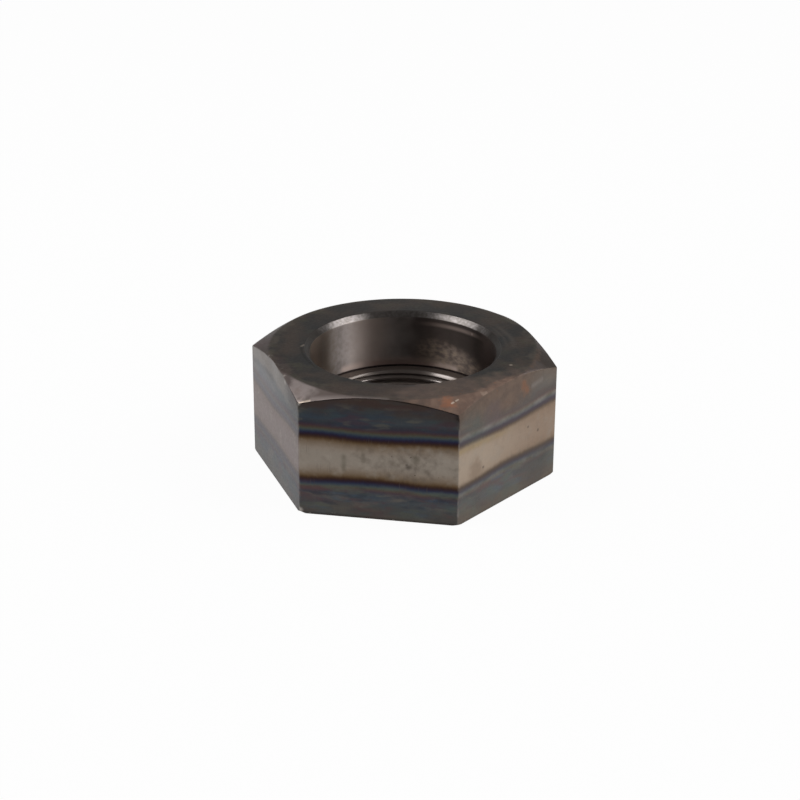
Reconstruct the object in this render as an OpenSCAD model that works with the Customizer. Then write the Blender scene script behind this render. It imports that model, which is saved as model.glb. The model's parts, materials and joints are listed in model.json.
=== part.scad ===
// Heavy hexagon lock nut with a plain counterbore above its thread.
// The seat lies on z = 0 and the thread axis is +Z. All sizes are in millimetres.

/* [Hexagon] */
// Width across the flats, which is the spanner size
across_flats = 60; // [56:0.5:72]
// Height from the seat to the top face
nut_h = 28.4; // [25:0.1:40]
// Radius along the six upright edges
corner_r = 0.5; // [0.2:0.1:1.5]

/* [Top chamfer] */
// Distance from each flat in to the round top face
top_inset = 0.15; // [0.05:0.05:2]
// Slope of the top chamfer below the top face, in degrees
top_slope = 27.5; // [15:0.5:35]

/* [Seat corners] */
// Trim taken off each corner at the seat, measured along the corner's radius
seat_trim = 0.6; // [0.4:0.1:3]
// Slope of that trim above the seat, in degrees
seat_slope = 25; // [15:1:45]

/* [Counterbore] */
// Diameter of the plain counterbore
counterbore_d = 41.7; // [39.5:0.1:48]
// Depth of the counterbore from the top face to its floor
counterbore_depth = 13.4; // [8:0.1:18]
// Width of the 45 degree chamfer round the mouth
mouth_chamfer = 1.15; // [0.5:0.05:2]
// Radius between the wall and the floor
floor_fillet = 0.2; // [0.1:0.1:1.5]

/* [Thread] */
// Outside diameter of the thread
thread_d = 36; // [30:0.5:37.5]
// Pitch of the thread
thread_pitch = 1.5; // [1:0.25:3]
// Width by which each lead-in chamfer opens beyond the thread
lead_in = 0.3; // [0.2:0.1:1.2]

/* [Hidden] */
$fn = 128;

// Overrun of the cutting profiles past the faces that they cut
overrun = 1;
// Depth of an inside thread's ridges as a share of the pitch, on a 60 degree thread
ridge_share = 5 / 8 * cos(30);

apothem = across_flats / 2;
// Distance from the axis to the middle of an upright edge's radius, and the width of a flat
corner_centre = (apothem - corner_r) / cos(30);
// Reach of the turned profile, just outside the corners
turned_r = apothem / cos(30) + overrun;

top_r = apothem - top_inset;
seat_r = corner_centre + corner_r - seat_trim;

counterbore_r = counterbore_d / 2;
floor_z = nut_h - counterbore_depth;

// The plain bore stands at the crests of the thread
crest_r = thread_d / 2 - ridge_share * thread_pitch;
lead_r = thread_d / 2 + lead_in;
// The lead-ins are 45 degree cones, as deep as they are wide
lead_depth = lead_r - crest_r;

// Section of the bar: straight flats that run into round corners
module hexagon_section() {
    for (turn = [0 : 60 : 120])
        rotate(turn)
            square([corner_centre, across_flats], center = true);
    for (turn = [0 : 60 : 300])
        rotate(turn)
            translate([corner_centre, 0])
                circle(r = corner_r);
}

// Turned outline that chamfers the corners, widely at the top and lightly at the seat
module turned_outline() {
    seat_rise = (turned_r - seat_r) * tan(seat_slope);
    top_drop = (turned_r - top_r) * tan(top_slope);
    rotate_extrude()
        polygon([
            [0, 0],
            [seat_r, 0],
            [turned_r, seat_rise],
            [turned_r, nut_h - top_drop],
            [top_r, nut_h],
            [0, nut_h]
        ]);
}

// Sharp corner between the counterbore's wall and floor that the fillet leaves standing
module fillet_section() {
    translate([counterbore_r - floor_fillet, floor_z])
        difference() {
            square([floor_fillet + overrun, floor_fillet]);
            translate([0, floor_fillet])
                circle(r = floor_fillet);
        }
}

// Stepped bore: lead-in, thread, lead-in, floor, counterbore and mouth chamfer
module stepped_bore() {
    rotate_extrude()
        difference() {
            polygon([
                [0, -overrun],
                [lead_r + overrun, -overrun],
                [crest_r, lead_depth],
                [crest_r, floor_z - lead_depth],
                [lead_r, floor_z],
                [counterbore_r, floor_z],
                [counterbore_r, nut_h - mouth_chamfer],
                [counterbore_r + mouth_chamfer + overrun, nut_h + overrun],
                [0, nut_h + overrun]
            ]);
            fillet_section();
        }
}

// The whole nut, turned and bored from one length of hexagon bar
module lock_nut() {
    color("dimgray")
        difference() {
            intersection() {
                linear_extrude(nut_h)
                    hexagon_section();
                turned_outline();
            }
            stepped_bore();
        }
}

lock_nut();
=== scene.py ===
"""Dresses a heavy hexagon lock nut: its worn steel body, its fine thread and its heat tint."""

import functools
import json
import logging
import math
from collections.abc import Callable, Mapping, Sequence
from dataclasses import dataclass
from enum import Enum
from typing import Any

import bmesh
import bpy
import numpy as np
from mathutils import Matrix, Vector


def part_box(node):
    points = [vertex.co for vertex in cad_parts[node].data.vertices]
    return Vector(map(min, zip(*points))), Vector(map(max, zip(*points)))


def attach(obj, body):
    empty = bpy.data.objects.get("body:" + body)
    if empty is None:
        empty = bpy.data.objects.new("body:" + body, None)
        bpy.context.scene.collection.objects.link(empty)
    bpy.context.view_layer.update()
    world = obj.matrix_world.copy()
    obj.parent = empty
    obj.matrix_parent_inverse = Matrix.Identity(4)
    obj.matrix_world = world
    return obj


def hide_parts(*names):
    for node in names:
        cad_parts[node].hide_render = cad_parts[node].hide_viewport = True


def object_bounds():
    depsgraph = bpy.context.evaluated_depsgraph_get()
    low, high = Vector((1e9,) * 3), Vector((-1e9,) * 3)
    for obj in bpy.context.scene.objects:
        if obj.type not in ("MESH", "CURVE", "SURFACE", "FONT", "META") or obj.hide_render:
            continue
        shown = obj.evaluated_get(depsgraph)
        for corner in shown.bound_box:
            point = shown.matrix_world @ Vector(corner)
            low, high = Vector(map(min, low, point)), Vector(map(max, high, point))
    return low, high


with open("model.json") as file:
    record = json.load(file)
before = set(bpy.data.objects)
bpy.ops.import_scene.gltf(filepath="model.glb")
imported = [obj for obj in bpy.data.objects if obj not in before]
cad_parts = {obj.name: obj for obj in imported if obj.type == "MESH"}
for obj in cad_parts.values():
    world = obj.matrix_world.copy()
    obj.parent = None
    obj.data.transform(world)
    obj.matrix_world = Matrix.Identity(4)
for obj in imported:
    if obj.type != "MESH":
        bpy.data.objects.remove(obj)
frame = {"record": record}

LOG = logging.getLogger("lock_nut_scene")

CAD_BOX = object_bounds()
NODE = "lock_nut"
BODY = "root"

MM = 0.001
IMAGE_SIDE = 800
SIDES = 6
WELD = 4e-6
# Azimuths in degrees that the flats on the left and on the right face
LEFT = 210
RIGHT = 330
# Distance in millimetres between the turning marks on the two end faces
TURNING_FEED = 0.45
# Share of the metal that full rust hides
RUST_OVER_METAL = 0.75

Colour = tuple[float, float, float, float]
WHITE: Colour = (1, 1, 1, 1)


def tone(red: int, green: int, blue: int) -> Colour:
    """Turns a colour as a screen shows it into the linear colour that a shader takes.

    Args:
        red: Red from 0 to 255.
        green: Green from 0 to 255.
        blue: Blue from 0 to 255.

    Returns:
        The linear colour with an alpha of 1.
    """
    shares = (channel / 255 for channel in (red, green, blue))
    linear = (s / 12.92 if s <= 0.04045 else ((s + 0.055) / 1.055) ** 2.4 for s in shares)
    return (*linear, 1.0)


def polar(azimuth: float, reach: float, height: float) -> tuple[float, float, float]:
    """Gives the point at an azimuth in degrees, a distance from the axis and a height."""
    turn = math.radians(azimuth)
    return (reach * math.cos(turn), reach * math.sin(turn), height)


def add_object(name: str, data: bpy.types.ID) -> bpy.types.Object:
    """Adds an object to the scene.

    Args:
        name: Its name.
        data: Its mesh, lamp or camera.

    Returns:
        The object.
    """
    made = bpy.data.objects.new(name, data)
    bpy.context.scene.collection.objects.link(made)
    return made


class Zone(Enum):
    """The surfaces of the nut that have a finish of their own, in the order of its slots."""

    SEAT = 0
    FLATS = 1
    CROWN = 2
    BORE = 3
    THROAT = 4


def operator(operation: str, swapped: bool = False) -> Callable[["Value", "Value | float"], "Value"]:
    """Makes a method that works on two numbers through a Math node.

    Args:
        operation: Blender's name for the operation.
        swapped: Whether the second number comes first.

    Returns:
        The method.
    """

    def work(first: "Value", second: "Value | float") -> "Value":
        """Adds the node."""
        values = (second, first) if swapped else (first, second)
        return first.graph.math(operation, *values)

    return work


class Value:
    """A number or vector that a node tree works out, written with ordinary operators."""

    def __init__(self, graph: "Graph", socket: bpy.types.NodeSocket | None) -> None:
        """Keeps the tree and the output socket that holds the value."""
        self.graph = graph
        self.socket = socket

    __add__ = operator("ADD")
    __radd__ = operator("ADD", swapped=True)
    __sub__ = operator("SUBTRACT")
    __rsub__ = operator("SUBTRACT", swapped=True)
    __mul__ = operator("MULTIPLY")
    __rmul__ = operator("MULTIPLY", swapped=True)
    __truediv__ = operator("DIVIDE")
    __rtruediv__ = operator("DIVIDE", swapped=True)
    least = operator("MINIMUM")
    most = operator("MAXIMUM")

    def __abs__(self) -> "Value":
        """Drops the sign."""
        return self.graph.math("ABSOLUTE", self)

    def ramp(self, start: float, end: float) -> "Value":
        """Eases from 0 at start to 1 at end, of which either may be the larger."""
        settings = {"interpolation_type": "SMOOTHSTEP"}
        return self.graph.node("ShaderNodeMapRange", settings, {0: self, 1: start, 2: end})

    def part(self, name: str) -> "Value":
        """Gives another output of the node that made this value."""
        return Value(self.graph, self.socket.node.outputs[name])


class Graph:
    """A node tree that expressions and calls add nodes to."""

    def __init__(self, tree: bpy.types.NodeTree) -> None:
        """Keeps the tree that is filled."""
        self.tree = tree

    def node(
        self,
        kind: str,
        settings: Mapping[str, Any] | None = None,
        inputs: Mapping[str | int, Any] | None = None,
        output: str | int = 0,
    ) -> Value:
        """Adds one node.

        Args:
            kind: The node's type.
            settings: Its properties, set first. The entry stops fills a colour ramp.
            inputs: Numbers, colours, vectors or links by socket name or number.
            output: The output socket that is returned.

        Returns:
            The chosen output, which is empty on a node that ends a tree.
        """
        made = self.tree.nodes.new(kind)
        for name, value in (settings or {}).items():
            if name == "stops":
                self.fill_ramp(made.color_ramp, value)
            else:
                setattr(made, name, value)
        for key, value in (inputs or {}).items():
            if isinstance(value, Value):
                self.tree.links.new(value.socket, made.inputs[key])
            else:
                made.inputs[key].default_value = value
        return Value(self, made.outputs[output] if made.outputs else None)

    @staticmethod
    def fill_ramp(ramp: bpy.types.ColorRamp, stops: Sequence[tuple[float, Colour]]) -> None:
        """Sets a colour ramp's stops.

        Args:
            ramp: The ramp, which has two stops at first.
            stops: Positions from 0 to 1 with their colours, at least two.
        """
        while len(ramp.elements) < len(stops):
            ramp.elements.new(1.0)
        for element, (position, colour) in zip(ramp.elements, stops):
            element.position = position
            element.color = colour

    def math(self, operation: str, *values: Value | float) -> Value:
        """Adds a Math node for one operation on numbers."""
        return self.node("ShaderNodeMath", {"operation": operation}, dict(enumerate(values)))

    def vector(self, operation: str, inputs: Mapping[str | int, Any], output: str | int = 0) -> Value:
        """Adds a Vector Math node for one operation on vectors."""
        return self.node("ShaderNodeVectorMath", {"operation": operation}, inputs, output)

    def blend(self, share: Value | float, first: Any, second: Any, mode: str = "MIX") -> Value:
        """Mixes a share from 0 to 1 of a second colour over a first, in one of Blender's modes."""
        settings = {"data_type": "RGBA", "blend_type": mode, "clamp_factor": True}
        return self.node("ShaderNodeMix", settings, {0: share, 6: first, 7: second}, output=2)


@dataclass(frozen=True)
class NutSizes:
    """Sizes of the nut in metres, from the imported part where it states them."""

    apothem: float
    height: float
    counterbore_r: float
    crest_r: float
    corner_r: float = 0.5 * MM
    top_inset: float = 0.15 * MM
    top_slope: float = math.radians(27.5)
    seat_trim: float = 0.6 * MM
    seat_slope: float = math.radians(25)
    counterbore_depth: float = 13.4 * MM
    mouth_chamfer: float = 1.15 * MM
    thread_r: float = 18 * MM
    pitch: float = 1.5 * MM
    lead_in: float = 0.3 * MM

    @classmethod
    def from_frame(cls) -> "NutSizes":
        """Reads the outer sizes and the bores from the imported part.

        Returns:
            The sizes of the nut.
        """
        _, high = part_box(NODE)
        mounts = {mount["name"]: mount["dims"] for mount in frame["record"]["mounts"]}
        return cls(
            apothem=high.y,
            height=high.z,
            counterbore_r=mounts["counterbore"]["r_mm"] * MM,
            crest_r=mounts["threaded_bore"]["r_mm"] * MM,
        )

    @property
    def corner_centre(self) -> float:
        """Distance from the axis to the middle of an upright edge's radius."""
        return (self.apothem - self.corner_r) / math.cos(math.pi / SIDES)

    @property
    def corner_reach(self) -> float:
        """Distance from the axis to the outside of an upright edge."""
        return self.corner_centre + self.corner_r

    @property
    def top_r(self) -> float:
        """Radius of the round top face."""
        return self.apothem - self.top_inset

    @property
    def seat_r(self) -> float:
        """Radius at which the corners are trimmed at the seat."""
        return self.corner_reach - self.seat_trim

    @property
    def floor_z(self) -> float:
        """Height of the counterbore's floor."""
        return self.height - self.counterbore_depth

    @property
    def lead_r(self) -> float:
        """Radius at which the thread's lead-ins start."""
        return self.thread_r + self.lead_in


@dataclass(frozen=True)
class Columns:
    """Upright columns of vertices round the nut, crowded together at its six corners."""

    per_side: int = 40
    crowding: float = 0.97

    @property
    def count(self) -> int:
        """Number of columns."""
        return SIDES * self.per_side

    def angles(self) -> np.ndarray:
        """Gives each column's angle in radians, with the first on a corner."""
        share = np.arange(self.count) / self.count
        return 2 * math.pi * share - self.crowding / SIDES * np.sin(2 * math.pi * SIDES * share)


@dataclass(frozen=True)
class Nick:
    """A small dent or blunted spot, pressed in towards a point inside the nut."""

    azimuth: float
    reach: float
    height: float
    spread: float
    depth: float

    def press(self, points: np.ndarray) -> np.ndarray:
        """Moves the points near the nick inwards.

        Args:
            points: Rows of x, y and z in metres.

        Returns:
            The points with the nick pressed in.
        """
        centre = np.array(polar(self.azimuth, self.reach, self.height)) * MM
        inward = -centre + np.array([0.0, 0.0, CAD_BOX[1].z / 2])
        inward /= np.linalg.norm(inward)
        nearness = np.linalg.norm(points - centre, axis=-1) / (self.spread * MM)
        weight = np.clip(1 - nearness**2, 0, 1) ** 2
        return points + weight[..., None] * inward * self.depth * MM


@dataclass(frozen=True)
class Thread:
    """The threaded wall from the seat to the counterbore's floor, with its two lead-ins."""

    sizes: NutSizes
    columns: Columns

    ROWS_PER_PITCH = 16
    # Rows by which the ridges are turned on, so that the first full ridge lies as in the photograph
    ROWS_ON = 7
    # Half the width of a ridge's crest as a share of the pitch, and the steepness of its flanks
    CREST_HALF = 1 / 8
    FLANK_SLOPE = math.sqrt(3)

    def inputs(self) -> dict[str, float]:
        """Names the sizes that the tree takes.

        Returns:
            Sizes in metres by the names of the tree's sockets.
        """
        return {
            "Pitch": self.sizes.pitch,
            "Length": self.sizes.floor_z,
            "Crest radius": self.sizes.crest_r,
            "Root radius": self.sizes.thread_r,
            "Lead-in radius": self.sizes.lead_r,
        }

    def tree(self, finish: bpy.types.Material) -> bpy.types.NodeTree:
        """Builds the tree that winds a flat grid into a right-hand thread.

        A row of the grid follows the helix, so the edges of the ridges stay sharp. Rows that
        would pass an end of the wall are gathered on its lead-in and merged there.

        Args:
            finish: Material of the wall.

        Returns:
            The Geometry Nodes tree.
        """
        tree = bpy.data.node_groups.new("helical_thread", "GeometryNodeTree")
        for name in self.inputs():
            tree.interface.new_socket(name, in_out="INPUT", socket_type="NodeSocketFloat")
        tree.interface.new_socket("Geometry", in_out="OUTPUT", socket_type="NodeSocketGeometry")
        graph = Graph(tree)
        given = graph.node("NodeGroupInput")
        pitch, length = given.part("Pitch"), given.part("Length")
        crest, root, lead = (given.part(f"{name} radius") for name in ("Crest", "Root", "Lead-in"))

        rows = round((self.sizes.floor_z / self.sizes.pitch + 1) * self.ROWS_PER_PITCH) + 1
        extent = {"Size X": 1.0, "Size Y": 1.0, "Vertices X": self.columns.count + 1, "Vertices Y": rows}
        grid = graph.node("GeometryNodeMeshGrid", inputs=extent)
        flat = graph.node("ShaderNodeSeparateXYZ", inputs={0: graph.node("GeometryNodeInputPosition")})
        share = flat.part("X") + 0.5
        crowd = graph.math("SINE", share * (2 * math.pi * SIDES)) * (self.columns.crowding / SIDES)
        turn = share * (2 * math.pi) - crowd
        along = (flat.part("Y") + 0.5) * (length + pitch)
        climb = along - pitch + pitch * turn / (2 * math.pi)
        height = climb.most(0.0).least(length)

        wound_on = along + pitch * (self.ROWS_ON / self.ROWS_PER_PITCH)
        from_crest = graph.math("PINGPONG", wound_on, pitch / 2)
        flank = (from_crest - pitch * self.CREST_HALF) * self.FLANK_SLOPE
        ridge = crest + flank.most(0.0).least(root - crest)
        reach = ridge.most(lead - height).most(lead - length + height)
        across, back = reach * graph.math("COSINE", turn), reach * graph.math("SINE", turn)
        place = graph.node("ShaderNodeCombineXYZ", inputs={0: across, 1: back, 2: height})
        wound = graph.node("GeometryNodeSetPosition", inputs={"Geometry": grid, "Position": place})
        merged = graph.node("GeometryNodeMergeByDistance", inputs={"Geometry": wound, "Distance": WELD})
        real = graph.node("GeometryNodeRealizeInstances", inputs={"Geometry": merged})
        dressed = graph.node("GeometryNodeSetMaterial", inputs={"Geometry": real, "Material": finish})
        graph.node("NodeGroupOutput", inputs={"Geometry": dressed})
        return tree

    def mesh(self, finish: bpy.types.Material) -> bpy.types.Mesh:
        """Runs the tree and keeps its result as a plain mesh.

        Args:
            finish: Material of the wall.

        Returns:
            The threaded wall, open at both ends.
        """
        holder = add_object("thread_wall", bpy.data.meshes.new("thread_wall"))
        tree = self.tree(finish)
        modifier = holder.modifiers.new("thread", "NODES")
        modifier.node_group = tree
        sockets = {item.name: item.identifier for item in tree.interface.items_tree}
        for name, size in self.inputs().items():
            modifier[sockets[name]] = size
        graph = bpy.context.evaluated_depsgraph_get()
        made = bpy.data.meshes.new_from_object(holder.evaluated_get(graph))
        bpy.data.objects.remove(holder)
        return made


@dataclass(frozen=True)
class Edge:
    """How far an edge of the section is worn round, in millimetres, and its rows of vertices.

    The worn side is the further wear on the flat where the nut is rusty.
    """

    setback: float
    rows: int
    unevenness: float = 0.0
    worn_side: float = 0.0


@dataclass(frozen=True)
class Run:
    """A straight stretch of the section between two edges."""

    zone: Zone
    rows: int


@dataclass(frozen=True)
class NutBody:
    """The turned and bored hexagon without its threaded wall."""

    sizes: NutSizes
    columns: Columns
    nicks: Sequence[Nick]

    EDGE_BREAK = 0.12 * MM
    LONGEST_SHARE = 0.48
    # Middle and half width of the stretch that is worn further, in radians
    RUSTY_TURN = math.radians(325)
    RUSTY_SPREAD = 0.5
    # Waves in the wear: how many go round the nut, and their phase in radians
    WAVES = ((5, 1.3), (11, 4.1), (23, 0.7))
    # From the seat's lead-in out along the seat, up the flats, over the crown and down the bore
    RUNS = (
        Run(Zone.SEAT, 4),
        Run(Zone.SEAT, 1),
        Run(Zone.FLATS, 28),
        Run(Zone.CROWN, 4),
        Run(Zone.CROWN, 6),
        Run(Zone.BORE, 2),
        Run(Zone.BORE, 10),
        Run(Zone.THROAT, 2),
    )
    EDGES = (
        Edge(0.12, 3),
        Edge(0.14, 3, 0.4),
        Edge(0.26, 6, 0.5, worn_side=0.7),
        Edge(0.35, 5, 0.3),
        Edge(0.14, 4, 0.4),
        Edge(0.14, 4),
        Edge(0.20, 4),
    )

    def reach(self) -> np.ndarray:
        """Works out how far the flats and their round corners lie from the axis.

        Returns:
            The outside radius in each column.
        """
        sizes = self.sizes
        half = math.pi / SIDES
        from_corner = (self.columns.angles() + half) % (2 * half) - half
        from_middle = half - np.abs(from_corner)
        flat = sizes.apothem / np.cos(from_middle)
        inside = sizes.corner_r**2 - (sizes.corner_centre * np.sin(from_corner)) ** 2
        rounded = sizes.corner_centre * np.cos(from_corner) + np.sqrt(np.maximum(inside, 0))
        on_corner = sizes.apothem * np.tan(from_middle) > sizes.corner_centre / 2
        return np.where(on_corner, rounded, flat)

    def corners(self) -> np.ndarray:
        """Places the sharp corners of the section in each column.

        Returns:
            Radius and height by column and corner.
        """
        sizes = self.sizes
        reach = self.reach()
        seat_edge = np.minimum(sizes.seat_r, reach - self.EDGE_BREAK)
        seat_rise = np.maximum((reach - sizes.seat_r) * math.tan(sizes.seat_slope), self.EDGE_BREAK)
        top_edge = sizes.height - (reach - sizes.top_r) * math.tan(sizes.top_slope)
        mouth_r = sizes.counterbore_r + sizes.mouth_chamfer
        section = (
            (sizes.lead_r, 0.0),
            (seat_edge, 0.0),
            (reach, seat_rise),
            (reach, top_edge),
            (sizes.top_r, sizes.height),
            (mouth_r, sizes.height),
            (sizes.counterbore_r, sizes.height - sizes.mouth_chamfer),
            (sizes.counterbore_r, sizes.floor_z),
            (sizes.lead_r, sizes.floor_z),
        )
        full = np.ones(self.columns.count)
        by_corner = [(full * radius, full * height) for radius, height in section]
        return np.array(by_corner).transpose(2, 0, 1)

    def worn(self, edge: Edge) -> np.ndarray:
        """Varies how far an edge is worn round the nut.

        Args:
            edge: The edge.

        Returns:
            The setback in each column, in metres.
        """
        angles = self.columns.angles()
        waves = sum(np.sin(count * angles + phase) for count, phase in self.WAVES) / len(self.WAVES)
        aside = np.remainder(angles - self.RUSTY_TURN + math.pi, 2 * math.pi) - math.pi
        on_side = np.clip(1 - (aside / self.RUSTY_SPREAD) ** 2, 0, 1)
        return (edge.setback * (1 + edge.unevenness * waves) + edge.worn_side * on_side) * MM

    @staticmethod
    def between(start: np.ndarray, end: np.ndarray, shares: np.ndarray) -> np.ndarray:
        """Gives points on the lines from start to end at some shares of the way."""
        return start[:, None] + (end - start)[:, None] * shares[None, :, None]

    def rounded(self, corners: np.ndarray, index: int, edge: Edge) -> np.ndarray:
        """Rounds one corner of the section.

        Args:
            corners: Radius and height by column and corner.
            index: The corner's number.
            edge: How far it is worn.

        Returns:
            Radius and height by column and row.
        """
        corner = corners[:, index]
        ends = []
        for neighbour in (corners[:, index - 1], corners[:, index + 1]):
            length = np.linalg.norm(neighbour - corner, axis=1)
            setback = np.minimum(self.worn(edge), self.LONGEST_SHARE * length)
            ends.append(corner + (neighbour - corner) * (setback / length)[:, None])
        share = np.linspace(0, 1, edge.rows)
        before = self.between(ends[0], corner, share)
        after = self.between(corner, ends[1], share)
        return before + (after - before) * share[None, :, None]

    def section(self) -> tuple[np.ndarray, list[Zone]]:
        """Lays out the rows of the section in every column.

        Returns:
            Radius and height by column and row, and the zone of the strip after each row.
        """
        corners = self.corners()
        rows = [corners[:, :1]]
        zones = [self.RUNS[0].zone]
        last = corners[:, 0]
        for index, (run, edge) in enumerate(zip(self.RUNS, self.EDGES), start=1):
            arc = self.rounded(corners, index, edge)
            rows += [self.between(last, arc[:, 0], self.shares(run.rows)), arc]
            middle = edge.rows // 2
            following = self.RUNS[index].zone
            zones += [run.zone] * (run.rows + middle) + [following] * (edge.rows - middle)
            last = arc[:, -1]
        rows += [self.between(last, corners[:, -1], self.shares(self.RUNS[-1].rows)), corners[:, -1:]]
        zones += [self.RUNS[-1].zone] * self.RUNS[-1].rows
        return np.concatenate(rows, axis=1), zones

    @staticmethod
    def shares(rows: int) -> np.ndarray:
        """Spreads rows over a straight run, closer together towards its ends."""
        return (1 - np.cos(np.arange(1, rows + 1) / (rows + 1) * math.pi)) / 2

    def mesh(self) -> bpy.types.Mesh:
        """Builds the body as rows of faces round the axis.

        Returns:
            The body, open where the thread joins it.
        """
        section, zones = self.section()
        angles = self.columns.angles()[:, None]
        radius, height = section[..., 0], section[..., 1]
        points = np.stack([radius * np.cos(angles), radius * np.sin(angles), height], axis=-1)
        for nick in self.nicks:
            points = nick.press(points)
        columns, rows = radius.shape
        numbers = np.arange(columns * rows).reshape(columns, rows)
        following = np.roll(numbers, -1, axis=0)
        faces = np.stack([numbers[:, :-1], following[:, :-1], following[:, 1:], numbers[:, 1:]], axis=-1)
        made = bpy.data.meshes.new("nut_body")
        made.from_pydata(points.reshape(-1, 3).tolist(), [], faces.reshape(-1, 4).tolist())
        slots = np.tile([zone.value for zone in zones], columns)
        made.polygons.foreach_set("material_index", slots.astype(np.int32))
        return made


class SurfaceGraph(Graph):
    """A material's node tree, with the place on the nut in millimetres and the colour so far."""

    # Softness of the limits between flats, as a difference of cosines
    FLAT_BLUR = 0.003

    def __init__(self, material: bpy.types.Material) -> None:
        """Clears the tree and adds the place, over plain black.

        Args:
            material: The material that is filled.
        """
        super().__init__(material.node_tree)
        self.tree.nodes.clear()
        metres = self.node("ShaderNodeTexCoord", output="Object")
        self.place = self.vector("SCALE", {0: metres, "Scale": 1 / MM})
        parts = self.node("ShaderNodeSeparateXYZ", inputs={0: self.place})
        self.x, self.y, self.z = (parts.part(axis) for axis in "XYZ")
        self.reach = self.math("SQRT", self.x * self.x + self.y * self.y)
        self.azimuth = self.math("ARCTAN2", self.y, self.x)
        self.colour: Value | Colour = tone(0, 0, 0)

    def cover(self, share: Value | float, shade: Value | Colour, mode: str = "MIX") -> None:
        """Mixes a colour or link over a share of the colour so far."""
        self.colour = self.blend(share, self.colour, shade, mode)

    def lay(self, share: Value | float, red: int, green: int, blue: int) -> None:
        """Covers a share of the colour so far with a shade as a screen shows it."""
        self.cover(share, tone(red, green, blue))

    @staticmethod
    def largest(*values: Value) -> Value:
        """Takes the largest of several numbers."""
        return functools.reduce(Value.most, values)

    def mapped(self, stretch: Sequence[float], shift: float, turn: Sequence[float] = (0, 0, 0)) -> Value:
        """Stretches, shifts and turns the place for one pattern.

        Args:
            stretch: Scale along x, y and z. A larger one packs the pattern closer.
            shift: Distance that tells this pattern from the others.
            turn: Angles in degrees about x, y and z.

        Returns:
            The changed place.
        """
        inputs = {
            "Vector": self.place,
            "Scale": stretch,
            "Location": (shift, 1.7 * shift, 2.9 * shift),
            "Rotation": [math.radians(angle) for angle in turn],
        }
        return self.node("ShaderNodeMapping", inputs=inputs)

    def cloud(
        self,
        size: float,
        shift: float,
        detail: float = 3.0,
        stretch: Sequence[float] = (1, 1, 1),
        turn: Sequence[float] = (0, 0, 0),
    ) -> Value:
        """Makes soft irregular patches.

        Args:
            size: Rough size of a patch in millimetres.
            shift: Distance that tells this pattern from the others.
            detail: How much finer structure it has.
            stretch: Further scale along x, y and z.
            turn: Angles in degrees about x, y and z.

        Returns:
            A number about 0, mostly from -0.25 to 0.25.
        """
        scale = [factor / size for factor in stretch]
        inputs = {"Vector": self.mapped(scale, shift, turn), "Scale": 1.0, "Detail": detail}
        return self.node("ShaderNodeTexNoise", inputs=inputs) - 0.5

    def specks(self, spacing: float, radius: float, shift: float) -> Value:
        """Makes small round specks.

        Args:
            spacing: Rough distance between them in millimetres.
            radius: Radius of a speck in millimetres.
            shift: Distance that tells this pattern from the others.

        Returns:
            1 in the middle of a speck and 0 outside it.
        """
        inputs = {"Vector": self.mapped([1 / spacing] * 3, shift), "Scale": 1.0}
        distance = self.node("ShaderNodeTexVoronoi", inputs=inputs)
        return distance.ramp(radius / spacing, 0.3 * radius / spacing)

    def spot(self, azimuth: float, reach: float, height: float, radius: float) -> Value:
        """Fades out from a point on the nut.

        Args:
            azimuth: Angle of the point about the axis, in degrees.
            reach: Its distance from the axis in millimetres.
            height: Its height in millimetres.
            radius: Distance in millimetres at which the result is 0.

        Returns:
            1 at the point, falling to 0.
        """
        centre = polar(azimuth, reach, height)
        return self.vector("DISTANCE", {0: self.place, 1: centre}, "Value").ramp(radius, 0.0)

    def streak(self, start: Sequence[float], end: Sequence[float], radius: float) -> Value:
        """Fades out from a short straight line on the nut.

        Args:
            start: Azimuth in degrees, distance from the axis and height in millimetres.
            end: The same for the other end.
            radius: Distance in millimetres at which the result is 0.

        Returns:
            1 on the line, falling to 0.
        """
        first, last = Vector(polar(*start)), Vector(polar(*end))
        along = last - first
        offset = self.vector("SUBTRACT", {0: self.place, 1: first})
        share = self.vector("DOT_PRODUCT", {0: offset, 1: along / along.length_squared}, "Value")
        nearest = self.vector("SCALE", {0: along, "Scale": share.most(0.0).least(1.0)})
        return self.vector("DISTANCE", {0: offset, 1: nearest}, "Value").ramp(radius, 0.0)

    def flat(self, azimuth: float) -> Value:
        """Picks out one flat.

        Args:
            azimuth: Angle in degrees that it faces.

        Returns:
            1 on that flat and 0 on the others.
        """
        facing = self.math("COSINE", self.azimuth - math.radians(azimuth))
        limit = math.cos(math.pi / SIDES)
        return facing.ramp(limit - self.FLAT_BLUR, limit + self.FLAT_BLUR)

    def inset(self, azimuth: float, apothem: float) -> Value:
        """Measures how far in from the flat that faces an azimuth the surface lies, in millimetres."""
        turn = math.radians(azimuth)
        return apothem / MM - self.x * math.cos(turn) - self.y * math.sin(turn)

    def sector(self, azimuth: float, wide: float, narrow: float) -> Value:
        """Gives 1 within a narrow angle of an azimuth and eases to 0 at a wide one, in degrees."""
        aside = self.math("ARCCOSINE", self.math("COSINE", self.azimuth - math.radians(azimuth)))
        return aside.ramp(math.radians(wide), math.radians(narrow))

    def rings(self, shift: float, waver: float) -> Value:
        """Makes turning marks round the axis, from -1 to 1, which waver by an angle in radians."""
        turn = self.reach * (2 * math.pi / TURNING_FEED) + self.cloud(6, shift) * waver
        return self.math("SINE", turn)

    def bump(self, height: Value, depth: float) -> Value:
        """Turns a height from 0 to 1 into a shading normal, for a depth in millimetres."""
        inputs = {"Height": height, "Distance": depth * MM, "Strength": 1.0}
        return self.node("ShaderNodeBump", inputs=inputs)

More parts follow.
